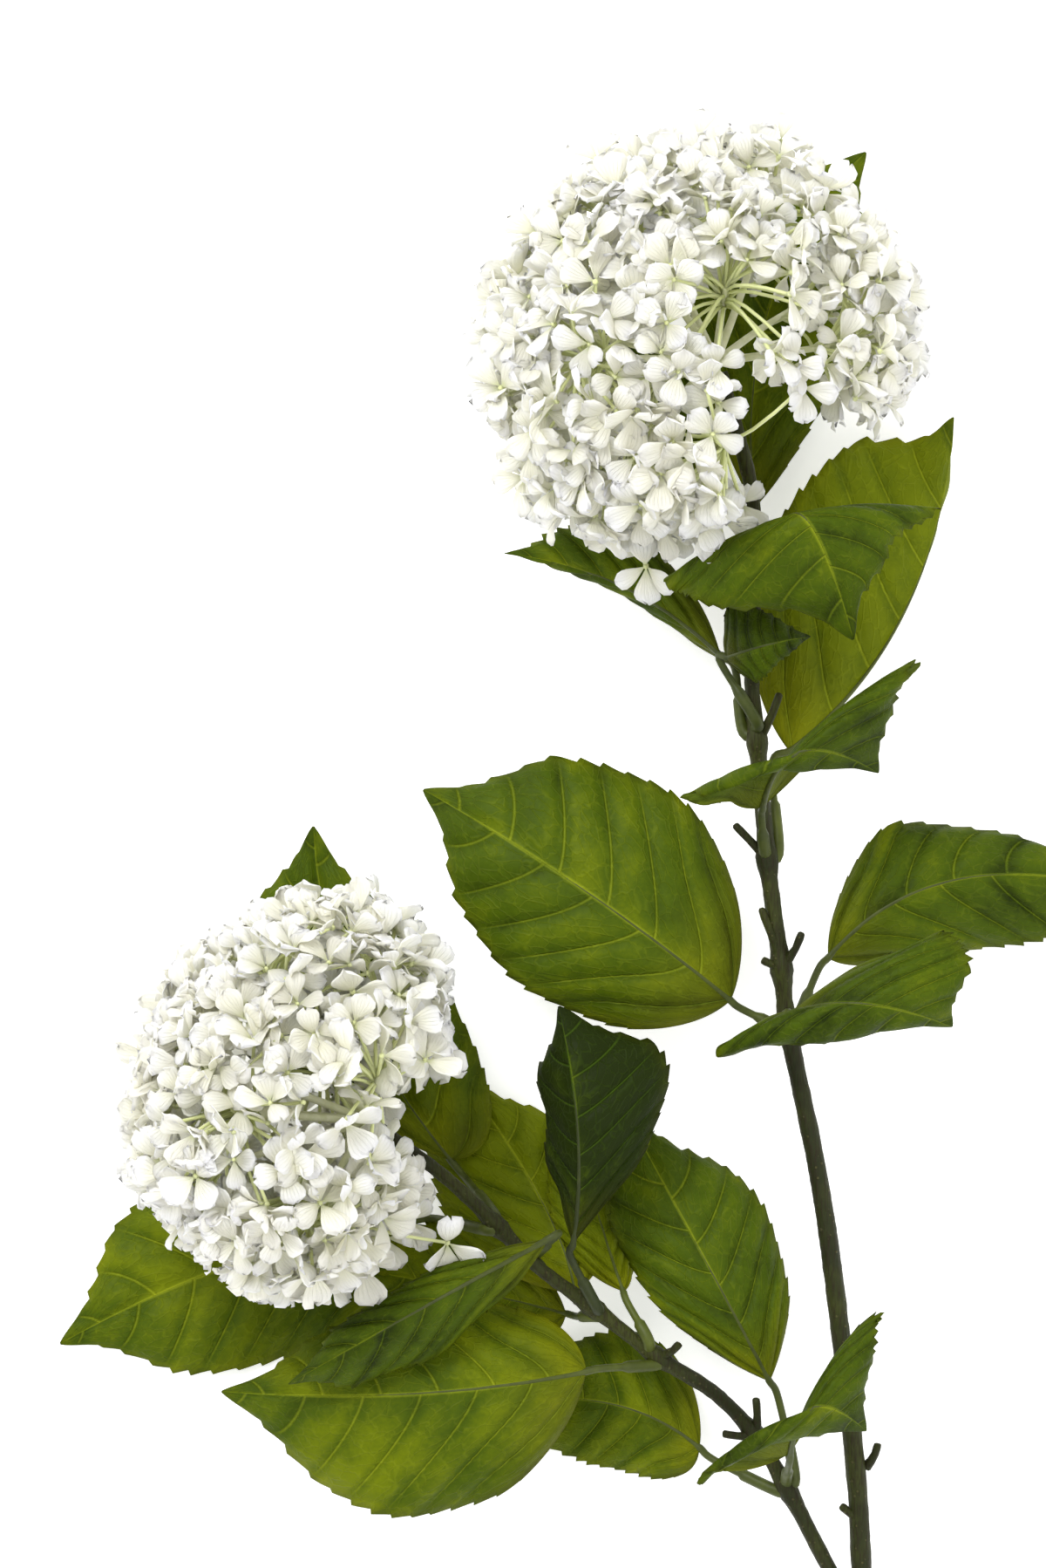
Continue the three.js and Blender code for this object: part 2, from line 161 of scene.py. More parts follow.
class Paint:
    """A material being mixed around one Principled shader."""

    def __init__(self, name, **constants):  # constants are sockets that are the same all over
        self.material = bpy.data.materials.new(name)
        self.material.use_nodes = True
        self.tree = self.material.node_tree
        self.shader = self.tree.nodes["Principled BSDF"]
        for socket, value in constants.items():
            self.shader.inputs[socket.replace("_", " ")].default_value = value

    def node(self, kind, settings, inputs, output=0):
        """Adds a node: its settings first, then the values or wires of its sockets."""
        node = self.tree.nodes.new(kind)
        for name, value in settings.items():
            setattr(node, name, value)
        for key, value in inputs.items():
            self.plug(node.inputs[key], value)
        return Wire(self, node.outputs[output])

    def plug(self, socket, value):
        if isinstance(value, Wire):
            self.tree.links.new(value.socket, socket)
        else:
            socket.default_value = value

    def mix(self, share, first, second):
        """Two colours mixed: the first where share is 0, the second where it is 1."""
        return self.node("ShaderNodeMix", {"data_type": "RGBA"}, {0: share, 6: first, 7: second}, 2)

    def place(self):
        return self.node("ShaderNodeTexCoord", {}, {}, "Object")

    def noise(self, vector, scale, detail=3.0, roughness=0.55):
        inputs = {"Vector": vector, "Scale": scale, "Detail": detail, "Roughness": roughness}
        return self.node("ShaderNodeTexNoise", {}, inputs)

    def attribute(self, name):
        return self.node("ShaderNodeAttribute", {"attribute_name": name}, {}, "Fac")

    def along_map(self):
        """Where a point is across and along the piece's own map, each from 0 to 1."""
        uv = self.node("ShaderNodeUVMap", {"uv_map": "UVMap"}, {})
        split = self.tree.nodes.new("ShaderNodeSeparateXYZ")
        self.tree.links.new(uv.socket, split.inputs[0])
        return Wire(self, split.outputs[0]), Wire(self, split.outputs[1])

    def vector(self, x, y, z=0.0):
        return self.node("ShaderNodeCombineXYZ", {}, {0: x, 1: y, 2: z})

    def finish(self, base, roughness, height, depth):
        """Joins colour, roughness and a relief of a depth in metres to the shader."""
        self.plug(self.shader.inputs["Base Color"], base)
        self.plug(self.shader.inputs["Roughness"], roughness)
        relief = {"Strength": 1.0, "Distance": depth, "Height": height}
        self.plug(self.shader.inputs["Normal"], self.node("ShaderNodeBump", {}, relief))
        return self.material


def table_paint():
    glow = {"Emission_Color": (1, 1, 1, 1), "Emission_Strength": TABLE_GLOW}
    paint = Paint("table_top", Specular_IOR_Level=0.1, **glow)
    grain = paint.noise(paint.place(), 300.0)
    base = paint.mix(grain, colour(251, 251, 251), colour(254, 254, 254))
    return paint.finish(base, 0.8 + 0.1 * grain, grain, 0.00002)


deselect()
bpy.ops.mesh.primitive_plane_add(size=TABLE_SIZE, location=(0, 0, 0))
table = bpy.context.object
table.name = "table_top"
table.data.materials.append(table_paint())

# ---- Stems ----
# The main stem and the side branch that grows out of it are one season's wood: green-brown bark
# with fine ridges and pale pores, swollen at each leaf node, with snapped twig stubs and a plain
# cut end.
MAIN_PATH = [
    (112, -402, 3.9), (105.5, -322, 10.5), (99, -246.5, 17), (96.2, -200.2, 21),
    (90.5, -150.2, 25.2), (85, -112.8, 28.4), (76.2, -70.2, 32), (74.2, -52.8, 33.4),
    (70, -21.5, 36), (67, 12.2, 39), (65.5, 29.8, 40.4), (66.2, 62, 43),
    (65.5, 82, 45), (61, 101, 47.6), (56.4, 117, 50),
]
SIDE_PATH = [
    (99, -246.5, 17), (94, -236.5, 17.8), (87.5, -224.8, 19), (76.2, -203.2, 21),
    (67, -187.8, 23), (55, -175.2, 26), (38.8, -164.8, 28.5), (20, -150.2, 32),
    (5, -139, 35), (-7.5, -126.5, 37.5), (-22, -112.5, 43), (-41, -98, 49),
]
MAIN_NODES = (2, 6, 7, 8, 9, 11)  # the points of each path where the wood swells
SIDE_NODES = (3, 4, 6, 7, 9)
MAIN_ROOT_RADIUS = 3.6
SIDE_ROOT_RADIUS = 2.25
TIP_RADIUS = 1.9
SWELLING = 0.85
SWELLING_LENGTH = 4.5
SCAR_RIDGE = 0.25  # each leaf leaves a low ring on either side of its node
SCAR_DISTANCE = 1.5
SCAR_WIDTH = 0.8
STEM_STEP = 1.6
STEM_UNEVENNESS = 0.12
BARK_LUMPS = 0.10
BARK_GRAIN = 0.05
SPAN_STEPS = 24
STUB_SHARES = (0, 0.3, 0.6, 0.85, 0.97, 1.0)
STUB_RADII = (1.7, 1.35, 1.15, 1.2, 1.05, 0.6)
STUB_BOW = (0.5, -0.4, 0.6)
STEM_ROUNDNESS = 5
STALK_ROUNDNESS = 3
TWIG_ROUNDNESS = 2
# Each stub runs from its root inside the wood to its snapped end.
STUBS = {
    "main_stem": [
        ((74.2, -52.8, 33.4), (68.5, -50.3, 36)), ((74.2, -52.8, 33.4), (80, -42.5, 37)),
        ((74.2, -52.8, 33.4), (68.2, -35.5, 37)), ((70, -21.5, 36), (60.5, -11.5, 38)),
        ((67, 12.2, 39), (73.4, 26, 42)), ((99, -197, 20), (102.4, -190, 22)),
        ((96.5, -212, 20), (91.6, -208, 22)),
    ],
    "side_branch": [
        ((67, -187.8, 23), (57.5, -187, 26)), ((67, -187.8, 23), (67, -176.6, 27)),
        ((38.8, -164.8, 28.5), (45, -160.5, 33)),
    ],
}


def smooth_path(points, steps):
    """Points evenly spread along a smooth curve through the given ones."""
    points = np.array(points, float)
    padded = np.vstack((2 * points[0] - points[1], points, 2 * points[-1] - points[-2]))
    fine = []
    for i in range(len(points) - 1):
        p0, p1, p2, p3 = padded[i : i + 4]
        bend = 2 * p0 - 5 * p1 + 4 * p2 - p3
        sway = 3 * p1 - p0 - 3 * p2 + p3
        for t in np.linspace(0, 1, SPAN_STEPS, endpoint=False):
            fine.append(0.5 * (2 * p1 + (p2 - p0) * t + bend * t**2 + sway * t**3))
    fine = np.array(fine + [points[-1]])
    gaps = np.linalg.norm(np.diff(fine, axis=0), axis=1)
    length = np.concatenate(([0], np.cumsum(gaps)))
    share = np.linspace(0, length[-1], steps)
    return np.stack([np.interp(share, length, fine[:, k]) for k in range(3)], axis=1)


def tube(name, points, radii, roundness):
    """A capped tube through points in the spray's millimetres, as a mesh object."""
    deselect()
    bpy.ops.curve.primitive_bezier_curve_add()
    piece = bpy.context.object
    piece.name = name
    curve = piece.data
    curve.splines.clear()
    curve.dimensions = "3D"
    curve.bevel_depth = MM
    curve.bevel_resolution = roundness
    curve.use_fill_caps = True
    spline = curve.splines.new("POLY")
    spline.points.add(len(points) - 1)
    spline.points.foreach_set("co", np.c_[in_frame(points), np.ones(len(points))].ravel())
    spline.points.foreach_set("radius", np.asarray(radii, float))
    bpy.ops.object.convert(target="MESH")
    bpy.ops.object.mode_set(mode="EDIT")
    bpy.ops.mesh.select_all(action="SELECT")
    bpy.ops.mesh.remove_doubles(threshold=1e-6)
    bpy.ops.mesh.normals_make_consistent(inside=False)
    bpy.ops.object.mode_set(mode="OBJECT")
    bpy.ops.object.shade_smooth_by_angle(angle=math.radians(50))
    return piece


def joined(pieces, name):
    """The pieces as one object, which takes the place of the first."""
    deselect()
    for piece in pieces:
        piece.select_set(True)
    bpy.context.view_layer.objects.active = pieces[0]
    bpy.ops.object.join()
    pieces[0].name = name
    pieces[0].data.name = name
    return pieces[0]


def vertices_of(piece):
    co = np.empty(len(piece.data.vertices) * 3)
    piece.data.vertices.foreach_get("co", co)
    return co.reshape(-1, 3)


def set_vertices(piece, co):
    piece.data.vertices.foreach_set("co", np.ascontiguousarray(co, float).ravel())
    piece.data.update()


def waves(co, scale, seed):
    """A repeatable smooth unevenness from -1 to 1 at each point."""
    p = co * scale + seed * 1.7
    total = np.sin(p[:, 0] * 1.3 + 2.1 * np.sin(p[:, 1] * 0.9 + seed))
    total = total + np.sin(p[:, 1] * 1.7 + 1.9 * np.sin(p[:, 2] * 1.1 - seed))
    return (total + np.sin(p[:, 2] * 1.5 + 2.3 * np.sin(p[:, 0] * 0.8 + 2 * seed))) / 3


def bark_paint():
    paint = Paint("stem_bark", Specular_IOR_Level=0.2)
    place = paint.place()
    patches = paint.noise(place, 45.0, 4.0)
    drawn_out = paint.node("ShaderNodeMapping", {}, {"Vector": place, "Scale": (9.0, 1.0, 9.0)})
    ridges = paint.noise(drawn_out, 170.0, 3.0)
    spots = paint.node("ShaderNodeTexVoronoi", {}, {"Vector": place, "Scale": 420.0})
    pores = spots.step(0.22, 0.1)
    green = paint.mix(patches.step(0.35, 0.65), colour(33, 38, 9), colour(57, 62, 18))
    brown = paint.mix(ridges.step(0.4, 0.7) * 0.7, green, colour(36, 27, 11))
    base = paint.mix(pores * 0.5, brown, colour(88, 84, 48))
    height = ridges + 0.5 * pores
    return paint.finish(base, 0.42 + 0.25 * ridges, height, 0.0004)


bark = bark_paint()


def stub(ends, index):
    """A snapped twig: a short tapered tube with a bevelled end."""
    start, end = (np.array(p, float) for p in ends)
    share = np.array(STUB_SHARES)[:, None]
    bow = np.array(STUB_BOW) * np.sin(np.pi * share)
    line = start + (end - start) * share + bow
    return tube(f"stub_{index}", line, STUB_RADII, TWIG_ROUNDNESS)


def stem(name, path, nodes, root_radius):
    path = np.array(path, float)
    total = np.linalg.norm(np.diff(path, axis=0), axis=1).sum()
    points = smooth_path(path, int(total / STEM_STEP))
    radii = np.linspace(root_radius, TIP_RADIUS, len(points))
    for index in nodes:
        distance = np.linalg.norm(points - path[index], axis=1)
        radii = radii + SWELLING * np.exp(-(distance / SWELLING_LENGTH) ** 2)
        ring = (distance - SCAR_DISTANCE) / SCAR_WIDTH
        radii = radii + SCAR_RIDGE * np.exp(-ring**2)
    radii = radii + STEM_UNEVENNESS * waves(points, 0.35, 3.0)
    shaft = tube(name, points, radii, STEM_ROUNDNESS)
    stubs = [stub(ends, i) for i, ends in enumerate(STUBS[name])]
    piece = joined([shaft] + stubs, name + "_wood")
    co = vertices_of(piece)
    away = waves(co / MM, 1.1, 5.0) * BARK_LUMPS + waves(co / MM, 2.9, 8.0) * BARK_GRAIN
    normals = np.array([v.normal for v in piece.data.vertices])
    set_vertices(piece, co + normals * away[:, None] * MM)
    piece.data.materials.append(bark)
    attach(piece, "root")
    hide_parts(name)


stem("main_stem", MAIN_PATH, MAIN_NODES, MAIN_ROOT_RADIUS)
stem("side_branch", SIDE_PATH, SIDE_NODES, SIDE_ROOT_RADIUS)

# ---- Leaves ----
# Each leaf is one blade with toothed margins, quilted between its veins, on a round stalk that
# clasps the stem at a node and runs on under the blade as the midrib.

# joint: where the stalk meets the stem. base, middle, tip: points on the blade's midrib. margins:
# its two edges at the widest. tone: 0 for an old dark leaf, 1 for a young yellow-green one. taper:
# small for a rounded base, near 1 for one that narrows straight to the stalk. corners: how sharply
# the half up to each margin peaks, as the halves of a folded leaf do.
LEAVES = {
    "crown_right_leaf": {
        "joint": (67.5, 60, 36), "base": (67, 80, 11), "middle": (72, 140, 2.8),
        "tip": (100, 184, 2), "margins": ((48, 142, 2.4), (91, 115, 2.6)), "tone": 0.7,
        "taper": 0.95,
    },
    "crown_left_leaf": {
        "joint": (62, 62, 40), "base": (55, 77, 9), "middle": (35, 112, 1.6),
        "tip": (7, 138, 1.2), "margins": ((25, 95, 1.6), (47, 127, 1.4)), "tone": 0.6,
    },
    "upper_front_leaf": {
        "joint": (67.5, 60, 48), "base": (70.5, 64, 60), "middle": (79, 74.5, 87),
        "tip": (93.5, 40.5, 68), "margins": ((41, 55.5, 70), (117, 75.5, 74)), "tone": 0.5,
        "corners": (0.0, 0.75),
    },
    "upper_left_leaf": {
        "joint": (63, 15, 38), "base": (57, 36, 37), "middle": (28, 57, 27),
        "tip": (-5.5, 66.5, 18), "margins": ((34, 52, 20), (28, 75, 22)), "tone": 0.48,
        "taper": 0.3, "corners": (0, 0.2),
    },
    "upper_small_leaf": {
        "joint": (66.5, 17, 44), "base": (58, 36, 48), "middle": (69.5, 39.5, 58),
        "tip": (82, 42, 52), "margins": ((59, 52, 52), (66, 28.5, 50)), "tone": 0.34,
        "taper": 0.7, "corners": (0.5, 0.7),
    },
    "upper_back_leaf": {
        "joint": (74, -20, 34), "base": (77, 9, 29), "middle": (110.5, 50, 24),
        "tip": (124.5, 106, 20), "margins": ((73, 74, 27), (102, 65, 3)), "tone": 0.88,
    },
    "middle_front_leaf": {
        "joint": (69, -19, 41), "base": (68, -6.5, 50), "middle": (78, 9, 76),
        "tip": (101, 3, 58), "margins": ((45, -5.5, 60), (111, 35, 66)), "tone": 0.4,
        "corners": (0.9, 0.5),
    },
    "main_left_leaf": {
        "joint": (72, -70, 33), "base": (59.5, -62, 36), "middle": (17, -30, 42),
        "tip": (-29, -1.5, 26), "margins": ((44, -4, 34), (5, -61, 32)), "tone": 0.55,
    },
    "right_front_leaf": {
        "joint": (76.5, -68, 37), "base": (76, -65, 50), "middle": (96, -62, 70),
        "tip": (122, -69, 58), "margins": ((55.5, -78, 52), (118, -43, 62)), "tone": 0.42,
        "corners": (0.55, 0.0),
    },
    "right_back_leaf": {
        "joint": (79, -68, 31), "base": (88, -50, 26), "middle": (127.5, -27, 26),
        "tip": (184, -34, 12), "margins": ((105, -12, 18), (125, -50, 16)), "tone": 0.46,
        "taper": 0.8, "corners": (0.35, 0),
    },
    "fork_right_leaf": {
        "joint": (79, -200, 22), "base": (71, -172, 26), "middle": (53, -138, 31),
        "tip": (29.5, -95, 20), "margins": ((35.5, -148, 25), (76, -135, 21)), "tone": 0.52,
        "taper": 0.95,
    },
    "fork_front_leaf": {
        "joint": (77, -201, 26), "base": (76, -191.5, 42), "middle": (82.5, -176.5, 62),
        "tip": (98, -184.5, 48), "margins": ((49, -198, 46), (101, -149.5, 52)), "tone": 0.45,
        "corners": (0.4, 0.5),
    },
    "fork_left_leaf": {
        "joint": (72, -205, 20), "base": (51, -192, 15), "middle": (22.5, -179, 11),
        "tip": (-14, -181.5, 7), "margins": ((30, -200, 7), (35, -160, 7)), "tone": 0.58,
    },
    "lower_front_leaf": {
        "joint": (37, -168.5, 31), "base": (18, -168, 42), "middle": (-32.5, -174, 46),
        "tip": (-87, -174.5, 30), "margins": ((-24, -209.5, 34), (-20, -148, 36)), "tone": 0.64,
    },
    "branch_side_leaf": {
        "joint": (37, -160, 32), "base": (29, -146, 27), "middle": (22, -125, 20),
        "tip": (12.5, -91, 15), "margins": ((10, -130, 16), (31, -131, 17)), "tone": 0.95,
        "taper": 0.8,
    },
    "lower_fold_leaf": {
        "joint": (4, -138, 35), "base": (7, -129.5, 55), "middle": (-30, -149, 66),
        "tip": (-67, -171, 50), "margins": ((-22, -160.5, 50), (-31, -140.5, 58)), "tone": 0.46,
        "taper": 0.8,
    },
    "upright_leaf": {
        "joint": (21, -150, 34), "base": (14, -132, 45), "middle": (15.5, -100, 60),
        "tip": (10, -63, 52), "margins": ((6, -108, 36), (42, -97, 50)), "tone": 0.0,
        "taper": 1.3,
    },
    "branch_back_leaf": {
        "joint": (19, -147, 28), "base": (15, -147, 22), "middle": (5, -120, 11),
        "tip": (-19.5, -83, 4), "margins": ((-23, -125, 4), (25, -115, 11)), "tone": 1.0,
    },
    "branch_under_leaf": {
        "joint": (19, -154, 29), "base": (12.5, -153, 19), "middle": (-15, -147, 9),
        "tip": (-52, -140, 8), "margins": ((-11, -165, 8), (-13, -128, 7)), "tone": 0.8,
    },
    "head_left_leaf": {
        "joint": (-11, -129, 36), "base": (-33, -127, 8), "middle": (-83, -139, 4.5),
        "tip": (-135, -163, 2), "margins": ((-66, -166, 2.5), (-90, -110, 2.5)), "tone": 0.7,
    },
    "head_back_leaf": {
        "joint": (-8, -123, 34), "base": (-21, -109, 9.5), "middle": (-50, -62, 3),
        "tip": (-61, -12, 2.2), "margins": ((-83, -66, 2.2), (-15, -74, 6)), "tone": 0.55,
        "corners": (0.38, 0.0),
    },
}
LEAF_ACROSS = 32
LEAF_ALONG = 112
BASE_CROWDING = 1.5  # rows of the blade lie closer together near its base
BLADE_START = 0.0002
BLADE_END = 0.997
WIDEST_AT = 0.4
BASE_TAPER = 0.62  # of the leaves that name no taper
TIP_TAPER = 0.85
TIP_NARROWING = 0.5  # how much the last stretch draws in to a fine point
CORNER_DEPTH = 0.55
CORNER_LENGTH = 0.28
CREASE = 0.25  # how far out from the midrib one half turns into the other
BLADE_THICKNESS = 0.45
LOWEST_BLADE = 0.2  # a blade that lies on the table is pressed flat by it
TEETH = 17
TOOTH_DEPTH = 1.45
TOOTH_LEAN = 0.9  # teeth point towards the tip
VEIN_PAIRS = 6.4
VEIN_RISE = 0.55  # how far a side vein climbs on its way to the margin
VEIN_CURVE = 1.5
SIDE_SHIFT = 0.3  # the veins of the two halves don't quite meet
QUILTING = 1.45
QUILTED_LENGTH = 90  # shorter blades are quilted less
BULGE = 0.05
RIPPLE = 0.06
RIPPLES = 2.6
STALK_RADIUS = 1.1
SLEEVE_RADIUS = 1.75
SLEEVE_SHARE = 0.5  # the part of the stalk that its thicker sleeve covers
SLEEVE_FLARE = 0.25
RIB_RADII = (STALK_RADIUS * 0.85, 0.16)  # the midrib thins from the stalk to the tip
RIB_DROPS = (0.7, 0.25)  # and sinks into the blade
RIB_END = 0.97
RIB_POINTS = 40
LEAF_TO_LEAF = 0.61  # shifts the teeth and ripples from each leaf to the next


def smoothstep(x, low, high):
    s = np.clip((x - low) / (high - low), 0, 1)
    return s * s * (3 - 2 * s)


def unit(vectors):
    return vectors / np.maximum(np.linalg.norm(vectors, axis=-1, keepdims=True), 1e-9)


def vein_phase(t, across, side):
    """Whole numbers lie on the side veins, halves midway between two of them."""
    rise = VEIN_RISE * (1 - t) * (0.35 + 0.65 * smoothstep(t, 0, 0.3))
    return VEIN_PAIRS * (t - rise * across**VEIN_CURVE) + SIDE_SHIFT * side


def blade_surface(sizes, v, s, seed):
    """The blade's points, midrib and normals: v from -1 to 1 across it, s from 0 to 1 along it."""
    base, middle, tip = (np.array(sizes[place], float) for place in ("base", "middle", "tip"))
    left, right = (np.array(margin, float) for margin in sizes["margins"])
    corners = sizes.get("corners", (0, 0))
    taper = sizes.get("taper", BASE_TAPER)
    if np.cross(right - left, tip - base)[2] < 0:
        left, right = right, left
        corners = corners[::-1]

    # The midrib, and each half's flat reach out from it.
    t = (BLADE_START + (BLADE_END - BLADE_START) * s**BASE_CROWDING)[:, None]
    control = 2 * middle - (base + tip) / 2
    midrib = (1 - t) ** 2 * base + 2 * t * (1 - t) * control + t**2 * tip
    tangent = unit(2 * (1 - t) * (control - base) + 2 * t * (tip - control))
    w = WIDEST_AT
    widest = (1 - w) ** 2 * base + 2 * w * (1 - w) * control + w**2 * tip
    side = np.where(v[:, None] < 0, left - widest, right - widest)
    t = t[:, 0]
    across = np.abs(v)
    peak = taper / (taper + TIP_TAPER)
    narrowing = 1 - TIP_NARROWING * smoothstep(t, 0.72, 0.95)
    reach = (t / peak) ** taper * ((1 - t) / (1 - peak)) ** TIP_TAPER * narrowing
    corner = np.where(v < 0, corners[0], corners[1]) * across
    off_corner = np.minimum(1, np.abs(t - WIDEST_AT) / CORNER_LENGTH)
    reach = reach * (1 - CORNER_DEPTH * corner * off_corner)
    half = np.linalg.norm(side, axis=1) * reach
    left_normal = unit(np.cross(tangent, left - widest))
    right_normal = unit(np.cross(right - widest, tangent))
    turn = smoothstep(v, -CREASE, CREASE)[:, None]
    normal = unit(left_normal * (1 - turn) + right_normal * turn)
    points = midrib + (across * reach)[:, None] * side

    # Teeth along the margins, all but at the base and the tip.
    toothed = smoothstep(t, 0.1, 0.18) * smoothstep(t, 0.93, 0.86)
    count = TEETH + 0.35 * np.sin(9 * t + seed)
    saw = np.mod(count * t + 0.37 * (v > 0) + seed, 1.0)
    tooth = TOOTH_DEPTH * toothed * (saw**1.3 - 0.35) * (0.75 + 0.25 * np.sin(23 * t + seed + v))
    edge = across**12
    points += (edge * tooth)[:, None] * (unit(side) + TOOTH_LEAN * tangent)

    # The blade puffs up between its veins, bulges a little and ripples towards the margins.
    phase = vein_phase(t, across, v > 0)
    inner = smoothstep(across, 0.02, 0.2)
    quilt = np.abs(np.sin(math.pi * phase)) ** 0.7 * inner * smoothstep(across, 1.0, 0.75)
    quilting = QUILTING * min(1, np.linalg.norm(tip - base) / QUILTED_LENGTH)
    lift = quilting * quilt * smoothstep(t, 0.0, 0.15) * smoothstep(t, 1.0, 0.8)
    lift += BULGE * half * np.sin(math.pi * across)
    wave = np.sin(2 * math.pi * (RIPPLES * t + 0.23 * seed) + 1.9 * (v > 0))
    lift += RIPPLE * half * (wave * smoothstep(t, 0.05, 0.3)) * across**2.5
    return points + lift[:, None] * normal, midrib, normal


def leaf_paint(name, dark, middle, light, roughness):
    """Waxy green with sunken pale veins and painted shade beside them, a fine net between them and a
    yellower margin.
    """
    paint = Paint(name, Specular_IOR_Level=0.09)
    u, s = paint.along_map()
    across = abs(2.0 * u - 1.0)
    side = u.step(0.499, 0.501)
    t = s**BASE_CROWDING
    rise = VEIN_RISE * (1.0 - t) * (0.35 + 0.65 * t.step(0.0, 0.3))
    phase = VEIN_PAIRS * (t - rise * across**VEIN_CURVE) + SIDE_SHIFT * side
    age = paint.attribute("tone")
    place = paint.place()
    mottle = paint.noise(place, 38.0, 4.0)
    fine = paint.noise(place, 900.0, 2.0)
    weave = paint.noise(place, 160.0, 2.0)
    from_middle = abs(phase.fraction() - 0.5)
    veins = from_middle.step(0.45, 0.494) * across.step(1.02, 0.6)
    # valley is the blade beside each vein: the relief sinks there, and the colour darkens there as a
    # painted shade.
    valley = from_middle.step(0.24, 0.46) * across.step(0.0, 0.12)
    midrib = across.step(0.03, 0.006)
    # beside_midrib is a strip along the midrib: on one half the tone is darker there, a painted shade,
    # and on the other half it is lighter.
    beside_midrib = across.step(0.22, 0.02)
    fields = paint.noise(paint.vector(phase * 0.9, side * 9.0 + 30.0 * age), 1.0, 1.0)
    cells = paint.vector(across * 9.0 + side * 20.0 + weave * 1.6, phase * 3.2 + weave * 1.4)
    to_edge = {"feature": "DISTANCE_TO_EDGE"}
    net = paint.node("ShaderNodeTexVoronoi", to_edge, {"Vector": cells, "Scale": 1.0})
    net = net.step(0.085, 0.0)
    unevenness = 0.8 * (mottle - 0.5) + 0.2 * (fine - 0.5)
    unevenness = unevenness + 0.35 * (weave - 0.5) + 0.7 * (fields - 0.5)
    # Painted shade darkens the tone in the valleys beside the veins.
    tone = age + unevenness - 0.13 * valley + beside_midrib * (0.2 * side - 0.1)
    tone = tone.clamped()
    base = paint.mix(tone.step(0.0, 0.55), dark, middle)
    base = paint.mix(tone.step(0.45, 1.0), base, light)
    yellowing = (1.0 - t).step(0.68, 1.0) * 0.5 + across.step(0.8, 1.1) * 0.3
    base = paint.mix(yellowing * (0.2 + 0.6 * tone), base, colour(132, 126, 0))
    vein_colour = paint.mix(tone, colour(58, 80, 10), colour(144, 154, 26))
    base = paint.mix(net * 0.17 + veins * 0.72, base, vein_colour)
    base = paint.mix(midrib * 0.85, base, vein_colour)
    height = 0.3 * net - 1.0 * veins - 0.5 * valley + 0.3 * fine + 0.5 * weave
    return paint.finish(base, roughness + 0.16 * mottle + 0.05 * fine, height, 0.0004)


def stalk_paint():
    paint = Paint("leaf_stalk", Specular_IOR_Level=0.3)
    place = paint.place()
    streaks = paint.noise(place, 260.0, 3.0)
    tone = (0.6 * paint.attribute("tone") + 0.7 * (streaks - 0.5)).clamped()
    base = paint.mix(tone, colour(42, 50, 14), colour(96, 106, 34))
    return paint.finish(base, 0.42 + 0.15 * streaks, streaks, 0.0002)


top_greens = (colour(27, 38, 0), colour(64, 82, 2), colour(104, 116, 1))
back_greens = (colour(37, 49, 6), colour(72, 90, 18), colour(111, 121, 28))
leaf_top = leaf_paint("leaf_upper_face", *top_greens, roughness=0.44)
leaf_back = leaf_paint("leaf_under_face", *back_greens, roughness=0.5)
leaf_stalk = stalk_paint()
stem_lines = [smooth_path(path, 400) for path in (MAIN_PATH, SIDE_PATH)]


def stalk(name, sizes, midrib_line, drop):
    """The stalk from the stem to the blade, carried on under the blade as its midrib."""
    joint = np.array(sizes["joint"], float)
    base = midrib_line[0]

    # It leaves the nearest stem sideways and a little upwards, and comes to the blade in its line.
    line = min(stem_lines, key=lambda points: np.linalg.norm(points - joint, axis=1).min())
    nearest = int(np.argmin(np.linalg.norm(line - joint, axis=1)))
    along = unit(line[min(nearest + 1, len(line) - 1)] - line[max(nearest - 1, 0)])
    outward = joint - line[nearest]
    outward = unit(outward - along * (outward @ along))
    start = line[nearest] + outward * 0.6 - along * 1.5
    way = unit(midrib_line[3] - midrib_line[0])
    reach = np.linalg.norm(base - start)
    leaving = start + (0.75 * outward + 0.65 * along) * min(4.5, 0.35 * reach)
    knots = [start, leaving, base - way * reach * 0.2 - drop[0], base - drop[0]]
    stalk_line = smooth_path(knots, max(18, int(reach)))

    # A thicker sleeve covers its lower part, flared where it clasps the stem.
    share = np.linspace(0, 1, len(stalk_line))
    sleeve = smoothstep(share, SLEEVE_SHARE + 0.02, SLEEVE_SHARE - 0.02)
    flare = 1 + SLEEVE_FLARE * smoothstep(share, 0.15, 0.0)
    radii = STALK_RADIUS + sleeve * (SLEEVE_RADIUS - STALK_RADIUS) * flare
    rib = midrib_line[2:] - drop[2:]
    rib_radii = np.linspace(*RIB_RADII, len(rib))
    whole = np.vstack((stalk_line, rib))
    return tube(name + "_stalk", whole, np.r_[radii, rib_radii], STALK_ROUNDNESS)


